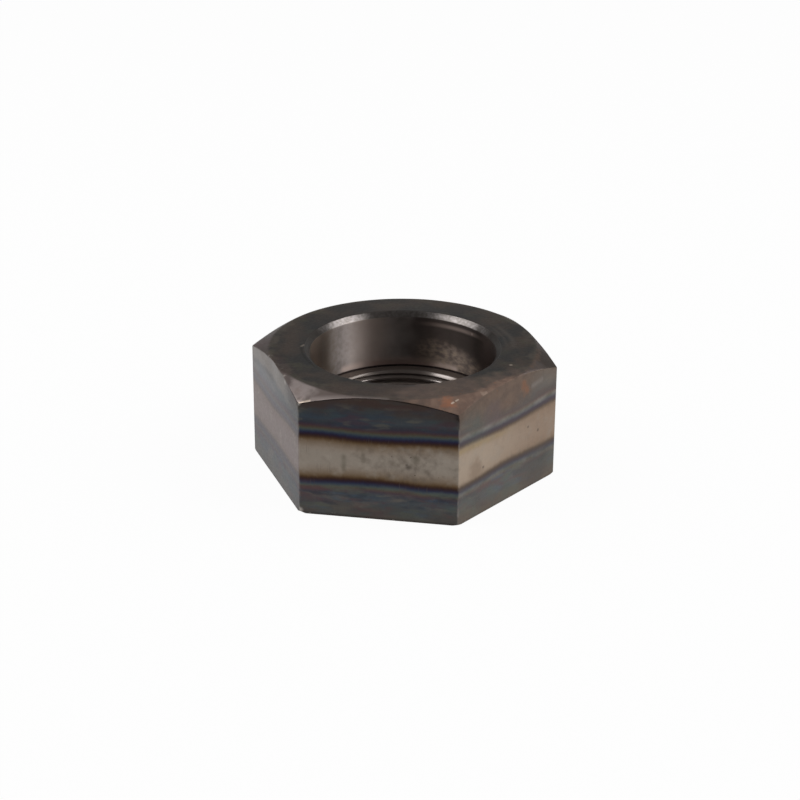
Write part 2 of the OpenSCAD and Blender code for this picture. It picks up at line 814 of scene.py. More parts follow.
    def steel(self, roughness: Value, normal: Value, **sockets: Any) -> None:
        """Ends the tree in a metal shader of the colour so far.

        Args:
            roughness: Roughness.
            normal: Shading normal.
            **sockets: Values of further sockets, with _ for a space in the name.
        """
        further = {name.replace("_", " "): value for name, value in sockets.items()}
        inputs = {"Base Color": self.colour, "Roughness": roughness, "Normal": normal, "Metallic": 1.0}
        shader = self.node("ShaderNodeBsdfPrincipled", inputs={**inputs, **further})
        self.node("ShaderNodeOutputMaterial", inputs={"Surface": shader})


@dataclass(frozen=True)
class Finish:
    """A finish of one of the nut's zones."""

    sizes: NutSizes

    name = "finish"
    # Roughness of the clean steel, and depth of the surface's relief in millimetres
    ROUGHNESS = 0.38
    RELIEF = 0.012

    def paint(self, graph: SurfaceGraph) -> None:
        """Fills the material's tree."""
        raise NotImplementedError

    def material(self) -> bpy.types.Material:
        """Makes the material.

        Returns:
            The material with its nodes.
        """
        made = bpy.data.materials.new(self.name)
        made.use_nodes = True
        self.paint(SurfaceGraph(made))
        return made


class TintedFlats(Finish):
    """Flats tinted by heat from both ends, with a plain band left round the middle."""

    name = "tinted_flats"
    BAND_MIDDLE = 13.7
    BAND_HALF = 4.15
    # Azimuth in degrees and depth in millimetres of the wave in the band's limits
    WAVE_TURN = 268
    WAVE = 0.29
    # Tint by the distance in millimetres past the plain band's limit
    TINTS = (
        (-3.0, (132, 123, 113)),
        (-2.0, (128, 117, 106)),
        (-1.2, (117, 104, 91)),
        (-0.8, (111, 97, 83)),
        (-0.4, (102, 86, 70)),
        (0.0, (86, 69, 51)),
        (0.35, (67, 50, 37)),
        (0.65, (53, 38, 33)),
        (0.9, (45, 33, 37)),
        (1.2, (40, 33, 47)),
        (1.5, (39, 41, 59)),
        (1.8, (47, 54, 66)),
        (2.1, (59, 66, 69)),
        (2.4, (69, 70, 62)),
        (2.8, (70, 59, 52)),
        (3.2, (63, 48, 53)),
        (3.65, (53, 49, 57)),
        (4.1, (51, 53, 59)),
        (5.0, (60, 64, 68)),
        (6.0, (58, 61, 64)),
        (7.0, (62, 60, 59)),
        (9.5, (62, 55, 51)),
    )
    # Streaks on both tinted ends: size, shift, where they start and are full, strength and shade
    STREAKS = (
        (8, 11.3, (0.0, 0.16), 0.55, (45, 57, 69)),
        (5, 13.7, (0.02, 0.16), 0.6, (58, 68, 69)),
        (6, 17.9, (0.02, 0.18), 0.6, (66, 50, 56)),
        (5, 23.3, (0.04, 0.18), 0.75, (78, 76, 71)),
    )
    # Further streaks on the lower end: size, shift and shade
    LOWER_STREAKS = (
        (6, 27.1, (62, 80, 95)),
        (7, 29.3, (96, 88, 82)),
        (5, 33.7, (48, 52, 60)),
        (6, 36.1, (80, 86, 78)),
        (5, 34.9, (82, 62, 64)),
    )
    # Single pits: azimuth in degrees, then reach, height and radius in millimetres
    PITS = (
        (282.1, 30.7, 12.95, 1.0),
        (281.6, 30.6, 13.5, 0.6),
        (343.2, 30.8, 15.0, 0.5),
        (349.7, 31.9, 13.0, 0.6),
        (313.5, 31.3, 11, 0.5),
    )

    def beyond(self, graph: SurfaceGraph) -> Value:
        """Measures how far the surface lies past the plain band's wavy limits.

        Args:
            graph: The material's tree.

        Returns:
            The distance in millimetres, which is negative within the band.
        """
        z, left, right = graph.z, graph.flat(LEFT), graph.flat(RIGHT)
        turn = (graph.azimuth - math.radians(self.WAVE_TURN)) * SIDES
        wave = 0.02 - graph.math("COSINE", turn) * self.WAVE
        sway = graph.cloud(8, 3.1, 1.0) * 0.5
        feather = graph.cloud(0.8, 5.7, 3.0, stretch=(1, 1, 0.5)) * 0.4
        past = abs(z - self.BAND_MIDDLE) - self.BAND_HALF
        narrowed = left * 0.45 + right * (0.12 + z.ramp(12, 15) * 0.15)
        return past - wave + sway + feather + narrowed

    def stain(self, graph: SurfaceGraph, beyond: Value) -> None:
        """Clouds the tinted ends with streaks of blue, teal, violet and olive.

        Args:
            graph: The material's tree.
            beyond: Distance past the plain band in millimetres.
        """
        z = graph.z
        far = beyond.ramp(2.6, 4.4)
        for size, shift, (start, full), strength, shade in self.STREAKS:
            patch = graph.cloud(size, shift, 4.0, stretch=(0.75, 0.75, 2.8)).ramp(start, full)
            graph.lay(patch * far * strength, *shade)
        lower = z.ramp(9.0, 6.5)
        graph.cover(lower, (0.018, 0.018, 0.018, 1), "ADD")
        for size, shift, shade in self.LOWER_STREAKS:
            patch = graph.cloud(size, shift, 4.0, stretch=(0.8, 0.8, 2.4)).ramp(0.03, 0.2)
            graph.lay(patch * lower * 0.65, *shade)
        foot = (z + graph.cloud(4, 37.1) * 5).ramp(5.5, 0.5)
        graph.lay(foot * 0.5, 76, 72, 66)
        graph.lay(z.ramp(0.9, 0.2) * 0.6, 44, 40, 37)
        glints = z.ramp(1.1, 0.5) * graph.cloud(1.4, 35.9, 4.0).ramp(0.12, 0.2)
        graph.lay(glints * 0.5, 140, 136, 132)

    def rust(self, graph: SurfaceGraph) -> Value:
        """Browns the flats' top, paints light on the side flats, beats the left edge and rusts the right
        flat.

        Args:
            graph: The material's tree.

        Returns:
            How rusty each place is, from 0 to 1.
        """
        sizes = self.sizes
        x, y, z, reach = graph.x, graph.y, graph.z, graph.reach
        left, right = graph.flat(LEFT), graph.flat(RIGHT)
        top_edge = sizes.height / MM - (reach - sizes.top_r / MM) * math.tan(sizes.top_slope)
        below = top_edge - z
        brown = (below + graph.cloud(4, 31.7) * 6).ramp(4.0, 0.2)
        graph.lay(brown * 0.6, 60, 47, 43)
        # Painted light: the right flat is lightened, more so above 8 to 11 mm
        lit = z.ramp(8.0, 11.0) * 0.25 + 0.75
        graph.cover(right * lit, (0.075, 0.061, 0.049, 1), "ADD")
        far_end = right * x.ramp(26, 33) * z.ramp(21.5, 24.5)
        graph.cover(far_end, (0.034, 0.031, 0.027, 1), "ADD")
        # Painted sheen: the left flat is lightened, more near its top and towards one end
        pale = 0.02 + y.ramp(-29, -22) * 0.015
        pale = pale + z.ramp(17, 20) * (0.01 + y.ramp(-30, -6) * 0.08)
        graph.cover(left * pale, (1.0, 0.96, 0.98, 1), "ADD")
        within = 2.4 - y * 0.12 - below + graph.cloud(3.0, 39.7, 4.0) * 3
        beaten = within.ramp(-0.4, 1.0) * left * y.ramp(-26, -20)
        graph.lay(beaten * 0.45, 142, 135, 128)
        crease = abs(within + 0.4).ramp(0.8, 0.1) * left * y.ramp(-17, -11)
        crease = crease * (graph.cloud(1.6, 38.3, 4.0) * 2.4 + 0.4).most(0.0)
        graph.lay(crease * 0.5, 76, 70, 68)

        patches = graph.cloud(5, 41.9, 4.0)
        mottle = graph.cloud(1.8, 43.3, 4.0)
        rusty = graph.spot(325, 30.5, 27.5, 16) * 1.2 + patches * 1.3 + mottle * 0.3
        rusty = rusty.ramp(0.1, 0.8) * below.ramp(8.0, 5.0) * x.ramp(14, 19)
        rolled = (below + patches * 3).ramp(1.6, 0.6) * right * y.ramp(-10, -14)
        rusty = rusty.most(rolled * 0.8)
        crust = graph.blend(mottle.ramp(-0.2, 0.24), tone(111, 93, 83), tone(128, 107, 93))
        graph.cover(rusty * 0.85, crust)
        mauve = (graph.spot(319, 30.4, 22.3, 6) + patches).ramp(0.2, 0.7)
        graph.lay(mauve * 0.6, 106, 94, 95)
        scuff = graph.streak((345.5, 31.1, 24.4), (351, 32.2, 24.9), 1.0)
        scuff = scuff * (graph.cloud(2.5, 45.7, 2.0) * 0.8 + 0.6)
        graph.lay(scuff * 0.6, 154, 148, 145)
        warm = right * (z.ramp(19, 23) * 0.2).most(z.ramp(5, 0) * 0.3)
        graph.lay(warm, 106, 86, 70)
        cool = z.ramp(9, 6) * graph.cloud(4, 70.3, 4.0).ramp(-0.1, 0.2)
        cool = graph.spot(309, 32.2, 20.5, 7).most(cool)
        graph.lay(cool * right * 0.4, 92, 101, 95)
        dull = (graph.spot(349, 31.7, 4.4, 9) + graph.cloud(3, 69.1, 4.0)).ramp(0.1, 0.8) * right
        graph.lay(dull * 0.45, 82, 76, 72)
        spots = graph.streak((339.5, 30.4, 26.0), (341.5, 30.6, 23.7), 2.6)
        orange = (spots + graph.cloud(1.3, 47.3, 4.0) * 1.6).ramp(0.3, 1.2)
        flecks = graph.cloud(0.9, 49.1, 3.0).ramp(0.14, 0.3) * rusty
        graph.lay(orange.most(flecks) * 0.55, 146, 100, 72)
        return rusty

    def wear(self, graph: SurfaceGraph, beyond: Value) -> Value:
        """Marks the plain band with stains, pits and scratches, and paints wear and highlight on upright
        edges.

        Args:
            graph: The material's tree.
            beyond: Distance past the plain band in millimetres.

        Returns:
            The marks as heights.
        """
        x, z, left, right = graph.x, graph.z, graph.flat(LEFT), graph.flat(RIGHT)
        plain = beyond.ramp(0.6, -0.8)
        straw = right * plain
        tan = graph.blend(x.ramp(20, 33), tone(168, 150, 132), tone(144, 121, 102))
        graph.cover(straw * 0.75, tan)
        fringe = beyond.ramp(-1.8, -0.5) * x.ramp(29, 22) * z.ramp(13, 15)
        graph.lay(fringe * straw * 0.6, 150, 130, 92)
        upper = z.ramp(14, 16)
        violet = abs(beyond - 1.1).ramp(0.7, 0.1) * right * upper
        graph.lay(violet * 0.4, 66, 57, 70)
        sheen = upper * (x.ramp(20, 28) * 0.2 + 0.04) + graph.cloud(4, 65.9, 3.0) * 1.5 + 0.06
        sheen = abs(beyond - 2.4).ramp(1.0, 0.0) * right * sheen.most(0.0).least(0.42)
        graph.lay(sheen, 146, 140, 138)
        browned = graph.spot(309, 32.2, 11.2, 4.5) + graph.cloud(2, 59.3, 4.0)
        browned = browned.ramp(0.1, 0.8).most(graph.cloud(3.5, 63.1, 4.0).ramp(0.06, 0.3) * 0.6)
        graph.lay(browned * straw * 0.5, 122, 103, 86)
        graph.lay(left * plain * 0.8, 107, 91, 90)
        haze = left * beyond.ramp(-0.4, 0.6) * beyond.ramp(4.2, 2.6)
        graph.lay(haze * 0.45, 95, 86, 89)
        busy = graph.spot(281, 30.6, 14.5, 12)
        mottle = graph.cloud(1.4, 53.9, 5.0)
        stains = (mottle * 1.8 + graph.cloud(4, 55.1) * 1.2 + busy * 0.25).most(0.0)
        stains = stains * (1 - straw * 0.7) * (x.ramp(-14, 0) * 0.5 + 0.5)
        graph.lay(stains * plain * 0.9, 88, 79, 71)
        pale = (graph.cloud(2.4, 57.7, 4.0) * 1.6 - 0.05).most(0.0)
        graph.lay(pale * plain, 148, 140, 130)
        pits = graph.specks(1.7, 0.2, 61.1) * (graph.cloud(3, 67.7) + busy * 0.3).ramp(0.06, 0.22)
        pits = graph.largest(pits * (1 - straw * 0.9), *(graph.spot(*pit) * 0.8 for pit in self.PITS))
        graph.lay(pits * 0.75, 46, 38, 34)
        lines = graph.cloud(0.35, 71.9, 2.0, stretch=(1, 1, 0.07), turn=(38, 0, 20))
        crossed = graph.cloud(0.35, 77.3, 2.0, stretch=(1, 1, 0.06), turn=(-52, 0, 50))
        scratches = lines.most(crossed).ramp(0.13, 0.24) * graph.cloud(5, 73.3).ramp(-0.02, 0.12)
        scratches = scratches * (1 - straw * 0.7)
        graph.lay(scratches * 0.35, 80, 73, 67)
        drips = graph.largest(
            graph.streak((255.9, 30.9, 11.4), (255.9, 30.9, 14.4), 1.0),
            graph.streak((263.6, 30.2, 13.6), (263.6, 30.2, 16.6), 0.8) * 0.6,
            graph.spot(285.1, 31.1, 14.9, 1.5),
        )
        graph.lay(drips * 0.4, 78, 74, 62)
        corner_r = self.sizes.corner_reach / MM
        # Upright edges lighter: partly worn metal, partly a painted highlight; the spots are bare metal
        # at nicks
        corner = graph.largest(
            graph.reach.ramp(corner_r - 0.10, corner_r) * (0.12 + graph.cloud(2, 79.1) * 0.8),
            graph.spot(240, 34.5, 25.8, 0.7),
            graph.spot(240, 34.5, 0.8, 1.0),
            graph.spot(225.3, 31.1, 27.16, 0.8),
        )
        graph.lay(corner, 158, 151, 145)
        return mottle * 0.6 - pits * 0.8 - scratches * 0.5

    def paint(self, graph: SurfaceGraph) -> None:
        """Lays the tint, the stained ends, rust and marks over the steel.

        Args:
            graph: The material's tree.
        """
        beyond = self.beyond(graph)
        first, last = self.TINTS[0][0], self.TINTS[-1][0]
        stops = [((place - first) / (last - first), tone(*shade)) for place, shade in self.TINTS]
        share = (beyond - first) / (last - first)
        graph.colour = graph.node("ShaderNodeValToRGB", {"stops": stops}, {0: share})
        self.stain(graph, beyond)
        rusty = self.rust(graph)
        marks = self.wear(graph, beyond)
        fine = graph.cloud(0.5, 83.9, 3.0)
        roughness = self.ROUGHNESS + fine * 0.2 + beyond.ramp(0, 3) * 0.06 + rusty * 0.34
        normal = graph.bump(marks + fine * 0.4, self.RELIEF)
        graph.steel(roughness, normal, Metallic=1 - rusty * RUST_OVER_METAL)


class ScaledCrown(Finish):
    """Top face and chamfer under a dark scale, rusty towards one corner."""

    name = "scaled_crown"
    ROUGHNESS = 0.46
    RELIEF = 0.016

    def paint(self, graph: SurfaceGraph) -> None:
        """Lays scale, rust, worn edges and turning marks over the steel.

        Args:
            graph: The material's tree.
        """
        y, reach = graph.y, graph.reach
        apothem, top_r = self.sizes.apothem, self.sizes.top_r / MM
        base = graph.cloud(7, 103.1, 4.0).ramp(-0.1, 0.14)
        graph.colour = graph.blend(base, tone(72, 70, 68), tone(94, 83, 75))
        olive = graph.cloud(5, 107.3, 4.0).ramp(0.02, 0.18)
        graph.lay(olive * 0.7, 96, 92, 78)
        inner = (reach + graph.cloud(5, 109.1) * 6).ramp(26.0, 22.2)
        graph.lay(inner * 0.4, 66, 67, 68)
        rim = (reach + graph.cloud(3, 119.9, 4.0) * 9).ramp(28.2, 30.2)
        graph.lay(rim * 0.6, 116, 107, 96)
        front = graph.streak((252, 29, 28.4), (285, 28, 28.4), 9) + graph.cloud(3, 141.7, 4.0) * 0.8
        graph.lay(front.ramp(0.1, 0.8) * 0.45, 112, 95, 86)
        swept = reach + graph.cloud(9, 143.9) * 1.5
        arcs = abs(swept - 24.9).ramp(1.0, 0.0).most(abs(swept - 23.3).ramp(0.6, 0.0) * 0.6)
        arcs = arcs * (graph.spot(24, 25, 28.4, 12) + graph.cloud(3, 141.7, 4.0)).ramp(0.1, 0.9)
        graph.lay(arcs * 0.55, 112, 104, 97)
        graph.lay(y.ramp(12, 26) * 0.25, 104, 97, 92)
        arc = abs(reach - 22.65).ramp(0.5, 0.1) * graph.sector(207, 24, 12)
        graph.lay(arc * 0.5, 44, 45, 41)

        slope = reach.ramp(top_r - 0.3, top_r + 0.3)
        graph.lay(slope * 0.8, 106, 96, 93)
        worn = (graph.spot(232, 31.5, 27, 10) + graph.cloud(2.5, 111.7, 5.0)).ramp(0.1, 0.7) * slope
        worn = worn.most(graph.streak((244, 32.8, 26.9), (273, 30.0, 28.35), 1.3) * 0.8)
        graph.lay(worn * 0.8, 156, 145, 142)

        patches = graph.cloud(4, 41.9, 4.0)
        mottle = graph.cloud(1.8, 43.3, 4.0)
        rusty = graph.spot(300, 28, 28, 18).most(graph.spot(326, 30.5, 28, 13) * 0.9)
        rusty = (rusty * 1.2 + patches * 1.4 + mottle * 0.4).ramp(0.1, 0.9)
        rolled = graph.inset(RIGHT, apothem) + graph.cloud(2, 125.1, 3.0) * 3
        rolled = rolled.ramp(2.6, 0.8) * y.ramp(-10, -14)
        rusty = rusty.most(rolled * 0.8)
        crust = graph.blend(mottle.ramp(-0.18, 0.2), tone(81, 67, 60), tone(96, 79, 69))
        graph.cover(rusty * 0.8, crust)
        crust = graph.blend(mottle.ramp(-0.18, 0.2), tone(114, 91, 79), tone(130, 105, 90))
        graph.cover(rusty * slope.most(rolled) * 0.9, crust)
        dark_end = (graph.spot(2, 32.5, 27.2, 7) + graph.cloud(2.5, 111.7, 5.0)).ramp(0.1, 0.6)
        graph.lay(dark_end * slope * 0.65, 70, 60, 52)
        trail = graph.streak((6, 30.3, 28.2), (348.5, 30.4, 28.1), 1.8)
        trail = (trail + graph.cloud(1.6, 145.1, 4.0) * 2.2).ramp(0.4, 1.5)
        graph.lay(trail * 0.7, 128, 106, 90)
        orange = graph.spot(297.8, 31.2, 27.7, 4.2) + graph.cloud(1.3, 47.3, 4.0) * 1.6
        orange = orange.ramp(0.3, 1.2)
        flecks = graph.cloud(0.9, 49.1, 3.0).ramp(0.14, 0.3) * rusty
        graph.lay(orange.most(flecks) * 0.65, 158, 100, 68)
        red = graph.spot(183, 33.0, 27.0, 6) * slope
        red = red.most(graph.streak((204, 28.7, 28.4), (222, 29.4, 28.4), 2.2) * 0.6)
        graph.lay(red * 0.5, 100, 76, 76)
        smear = (graph.spot(225.5, 32.0, 27.2, 4.5) + graph.cloud(2.5, 137.1, 4.0)).ramp(0.25, 0.7)
        graph.lay(smear * slope * 0.7, 84, 73, 70)
        edge = graph.inset(LEFT, apothem).ramp(1.6, 0.2) * slope.most(0.4)
        edge = edge * graph.spot(212, 31.0, 27.6, 9).ramp(0.0, 0.3)
        chips = graph.cloud(1.3, 121.3, 4.0).ramp(0.0, 0.16)
        graph.lay(edge * chips * 0.7, 190, 181, 174)
        chips = graph.cloud(1.1, 123.7, 4.0).ramp(0.06, 0.18)
        graph.lay(edge * chips * 0.8, 52, 47, 45)
        flaked = graph.spot(314.1, 30.9, 27.9, 2.2) + graph.cloud(0.8, 135.3, 4.0) * 1.6
        graph.lay(flaked.ramp(0.4, 1.0) * 0.5, 158, 138, 122)
        bare = graph.largest(
            graph.streak((298.9, 31.5, 27.5), (299.7, 31.35, 27.6), 0.34),
            graph.streak((300.9, 31.1, 27.75), (302.0, 30.9, 27.9), 0.3) * 0.8,
            graph.spot(345.3, 25.9, 28.4, 0.6),
            graph.spot(225.3, 31.1, 27.3, 0.6),
            graph.streak((191, 22.6, 28.4), (189, 22.1, 28.4), 0.55) * 0.5,
            graph.streak((240, 34.4, 25.9), (243.5, 33.2, 26.6), 0.5),
        )
        graph.lay(bare * 0.9, 206, 190, 174)

        fine = graph.cloud(0.7, 113.9, 4.0)
        rings = graph.rings(117.3, 8)
        roughness = self.ROUGHNESS + fine * 0.3 + rusty * 0.24
        height = fine * 0.8 + rings * 0.1 * (1 - slope) + patches * 0.6 + mottle * rusty * 3
        normal = graph.bump(height, self.RELIEF)
        graph.steel(roughness, normal, Metallic=1 - rusty * RUST_OVER_METAL)


class TurnedBore(Finish):
    """Counterbore and its mouth, turned to a satin finish."""

    name = "turned_bore"
    RELIEF = 0.004
    # Painted highlight and shade in sectors of the wall: middle, wide and narrow angle in degrees, and
    # shade
    LIT_AND_SHADED_SECTORS = (
        (122, 18, 5, (194, 178, 169)),
        (148, 12, 3, (126, 117, 113)),
        (170, 26, 10, (181, 163, 145)),
        (18, 30, 12, (140, 123, 118)),
    )

    def paint(self, graph: SurfaceGraph) -> None:
        """Lays sectors of painted light and shade, smudges, the mouth's grain and turning marks on the
        steel.

        Args:
            graph: The material's tree.
        """
        z = graph.z
        floor_z = self.sizes.floor_z / MM
        lip_z = (self.sizes.height - self.sizes.mouth_chamfer) / MM
        grime = graph.cloud(5, 131.3, 4.0)
        graph.colour = graph.blend(grime.ramp(-0.12, 0.16), tone(156, 146, 142), tone(170, 160, 156))
        # The wall is darker in a broken patch round azimuth 54 degrees
        dark_patch = (graph.sector(54, 66, 20) + graph.cloud(6, 129.7, 3.0) * 0.6).ramp(0.1, 0.8)
        graph.lay(dark_patch * 0.85, 76, 67, 63)
        # Painted highlight and shade in sectors of the wall
        for middle, wide, narrow, shade in self.LIT_AND_SHADED_SECTORS:
            graph.lay(graph.sector(middle, wide, narrow) * 0.7, *shade)
        # Painted shade over the middle of the wall
        graph.lay(graph.sector(107, 24, 8) * 0.22, 30, 25, 24)
        # Painted highlight: light specks in the wall's lit sector
        speckled_highlight = graph.cloud(1.1, 128.3, 4.0).ramp(-0.2, 0.2) * graph.sector(146, 30, 14)
        graph.lay(speckled_highlight * 0.3, 190, 180, 175)
        shadow = graph.sector(58, 22, 8) * z.ramp(19, 22)
        graph.lay(shadow * 0.5, 56, 49, 46)
        glow = z.ramp(floor_z + 3.2, floor_z + 0.3) * graph.sector(98, 34, 18)
        graph.lay(glow * 0.9, 186, 163, 154)
        # Painted highlights along the wall's foot and just below the mouth
        edge_highlights = graph.largest(
            graph.streak((141, 20.9, 16.0), (128, 20.9, 16.0), 1.5),
            graph.streak((77, 20.9, 15.9), (64, 20.9, 15.8), 1.3) * 0.9,
            abs(z - 25.9).ramp(0.8, 0.1) * graph.sector(64, 32, 8) * 0.48,
            graph.spot(50.3, 20.9, 25.9, 0.6),
        )
        graph.lay(edge_highlights * 0.75, 206, 186, 176)
        smears = graph.cloud(1.5, 127.1, 5.0, stretch=(1, 1, 1.7)).ramp(-0.16, 0.2)
        smudge = graph.streak((80, 20.9, 18.6), (46, 20.9, 15.4), 6.4).ramp(0.05, 0.75)
        smudge = smudge * (0.15 + smears * 0.85)
        graph.lay(smudge * 0.75, 164, 146, 131)
        mouth = z.ramp(lip_z - 0.1, lip_z + 0.1)
        grain = graph.cloud(0.7, 133.1, 4.0).ramp(-0.2, 0.24)
        # The mouth is painted lighter where the lamps reflect in it, a painted highlight
        bright = graph.blend(grain, tone(120, 114, 110), tone(152, 146, 144))
        turn = graph.azimuth + graph.cloud(3, 147.7, 3.0) * 0.3
        # Painted shade: the mouth is darker at its ends and in its middle
        ends = graph.largest(
            (graph.y + graph.cloud(3, 139.3, 3.0) * 6).ramp(9.5, 4.5),
            turn.ramp(math.radians(41), math.radians(30)),
            graph.sector(105, 23, 13) * 0.7,
        )
        dim = graph.blend(graph.x.ramp(0, -12), tone(72, 67, 63), tone(86, 81, 76))
        bright = graph.blend(ends * 0.85, bright, dim)
        graph.cover(mouth, bright)
        # Painted shade: a dark line at the foot of the wall, next to the floor
        graph.lay(z.ramp(floor_z + 0.5, floor_z + 0.2), 34, 27, 25)
        turning = graph.cloud(0.5, 137.9, 2.0, stretch=(0.03, 0.03, 2.2))
        roughness = self.ROUGHNESS + turning * 0.2 + smudge * 0.25 - mouth * 0.06
        normal = graph.bump(turning * 0.6 + smudge * smears + mouth * grain * 0.2, self.RELIEF)
        graph.steel(roughness, normal, Anisotropic=1.0, Anisotropic_Rotation=0.25)


class ThreadedThroat(Finish):
    """Floor of the counterbore and the thread below it."""

    name = "threaded_throat"
    ROUGHNESS = 0.2
    RELIEF = 0.006

    def paint(self, graph: SurfaceGraph) -> None:
        """Lays dried grime on floor and grooves, and paints highlights on the ridges and shade in the
        middle.

        Args:
            graph: The material's tree.
        """
        sizes, z, reach = self.sizes, graph.z, graph.reach
        floor_z, lead_r = sizes.floor_z / MM, sizes.lead_r / MM
        crest_r, wall_r = sizes.crest_r / MM, sizes.counterbore_r / MM
        patches = graph.cloud(3, 149.3, 4.0)
        graph.colour = graph.blend(patches.ramp(-0.1, 0.2), tone(100, 95, 92), tone(78, 70, 64))
        on_floor = z.ramp(floor_z - 0.2, floor_z - 0.05)
        cut = (lead_r - z).most(lead_r - floor_z + z).most(crest_r)
        in_groove = (reach - cut).ramp(0.1, 0.5) * (1 - on_floor)
        deep = z.ramp(floor_z - 1.8, floor_z - 2.8)
        middle = graph.sector(102, 32, 14)
        lit = graph.sector(69, 13, 4) * (1 - on_floor)
        graph.lay(lit * 0.5, 156, 149, 146)
        # Painted highlight: the crests are lighter, except in the middle and deep down
        crest = (reach - crest_r).ramp(0.3, 0.1) * (1 - deep) * (1 - middle)
        graph.lay(crest * (patches * 1.6 + 0.8), 172, 164, 160)
        below_lip = (z + patches).ramp(floor_z - 0.3, floor_z - 0.6)
        below_lip = below_lip * (1 - crest) * (1 - lit * 0.7)
        grime = graph.largest(on_floor, in_groove, graph.largest(deep, below_lip, middle) * 0.8)
        graph.cover(grime * 0.9, graph.blend(deep, tone(104, 92, 84), tone(136, 124, 116)))
        # Painted shade over the middle of the floor and thread
        graph.lay(middle * (1 - deep * 0.7) * 0.6, 44, 37, 34)
        # Painted shade: a dark ring on the floor at the wall's foot
        graph.lay(reach.ramp(wall_r - 0.5, wall_r - 0.2) * on_floor, 34, 27, 25)
        turning = graph.cloud(0.5, 151.9, 3.0, stretch=(0.08, 0.08, 2.0))
        roughness = self.ROUGHNESS + turning * 0.3 + grime * 0.35
        normal = graph.bump(turning + patches * 0.5, self.RELIEF)
        graph.steel(roughness, normal, Metallic=1 - grime * 0.7)


class StainedSeat(Finish):
    """Seat face with turning marks under a dark stain."""

    name = "stained_seat"
    ROUGHNESS = 0.44

    def paint(self, graph: SurfaceGraph) -> None:
        """Lays stain and turning marks over the steel.

        Args:
            graph: The material's tree.
        """
        cloud = graph.cloud(8, 163.7, 4.0)
        graph.colour = graph.blend(cloud.ramp(-0.12, 0.16), tone(62, 61, 58), tone(90, 82, 74))
        rings = graph.rings(167.9, 6)
        fine = graph.cloud(0.7, 173.1, 4.0)
        roughness = self.ROUGHNESS + fine * 0.3
        graph.steel(roughness, graph.bump(fine * 0.7 + rings * 0.2, self.RELIEF))


FINISHES = {
    Zone.SEAT: StainedSeat,
    Zone.FLATS: TintedFlats,
    Zone.CROWN: ScaledCrown,
    Zone.BORE: TurnedBore,
    Zone.THROAT: ThreadedThroat,
}


@dataclass(frozen=True)
class LockNut:
    """The whole nut as one closed mesh."""

    sizes: NutSizes
    columns: Columns

    NICKS = (
        Nick(azimuth=240, reach=34.5, height=25.9, spread=1.2, depth=0.25),
        Nick(azimuth=300, reach=34.5, height=25.9, spread=1.6, depth=0.35),
        Nick(azimuth=240, reach=34.3, height=0.6, spread=1.4, depth=0.25),
        Nick(azimuth=222, reach=31.0, height=27.6, spread=1.1, depth=0.3),
        Nick(azimuth=206, reach=30.3, height=27.4, spread=5.5, depth=0.35),
        Nick(azimuth=195, reach=31.1, height=27.4, spread=1.5, depth=0.3),
    )

    @staticmethod
    def weld(body: bpy.types.Mesh, thread: bpy.types.Mesh) -> bpy.types.Mesh:
        """Joins the body and the threaded wall along their shared rims.

        Args:
            body: The body with its slots set.
            thread: The threaded wall.

        Returns:
            One closed mesh with its faces pointing outwards.
        """
        slots = np.full(len(thread.polygons), Zone.THROAT.value, dtype=np.int32)
        thread.polygons.foreach_set("material_index", slots)
        shape = bmesh.new()
        shape.from_mesh(body)
        shape.from_mesh(thread)
        bmesh.ops.remove_doubles(shape, verts=shape.verts, dist=WELD)
        bmesh.ops.recalc_face_normals(shape, faces=shape.faces)
        open_edges = sum(1 for edge in shape.edges if not edge.is_manifold)
        LOG.info("nut has %d faces and %d open edges", len(shape.faces), open_edges)
        made = bpy.data.meshes.new("finished_nut")
        shape.to_mesh(made)
        shape.free()
        return made

    @staticmethod
    def smooth(mesh: bpy.types.Mesh) -> None:
        """Shades the mesh smoothly, with each face's pull on a normal set by its area.

        Args:
            mesh: The welded mesh, which is changed in place.
        """
        mesh.polygons.foreach_set("use_smooth", np.ones(len(mesh.polygons), dtype=bool))
        points = np.empty(len(mesh.vertices) * 3, dtype=np.float32)
        mesh.vertices.foreach_get("co", points)
        points = points.reshape(-1, 3).astype(float)
        mesh.calc_loop_triangles()
        corners = np.empty(len(mesh.loop_triangles) * 3, dtype=np.int32)
        mesh.loop_triangles.foreach_get("vertices", corners)
        corners = corners.reshape(-1, 3)
        first, second, third = (points[corners[:, k]] for k in range(3))
        pull = np.cross(second - first, third - first)
        normals = np.zeros_like(points)
        for k in range(3):
            np.add.at(normals, corners[:, k], pull)
        normals /= np.maximum(np.linalg.norm(normals, axis=1), 1e-30)[:, None]
        mesh.normals_split_custom_set_from_vertices(normals.tolist())

    def build(self) -> bpy.types.Object:
        """Builds and dresses the nut, in place of its plain solid.

        Returns:
            The nut's object.
        """
        materials = {zone: FINISHES[zone](self.sizes).material() for zone in Zone}
        body = NutBody(self.sizes, self.columns, self.NICKS).mesh()
        thread = Thread(self.sizes, self.columns).mesh(materials[Zone.THROAT])
        mesh = self.weld(body, thread)
        for zone in Zone:
            mesh.materials.append(materials[zone])
        self.smooth(mesh)
        made = add_object("finished_nut", mesh)
        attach(made, BODY)
        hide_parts(NODE)
        return made


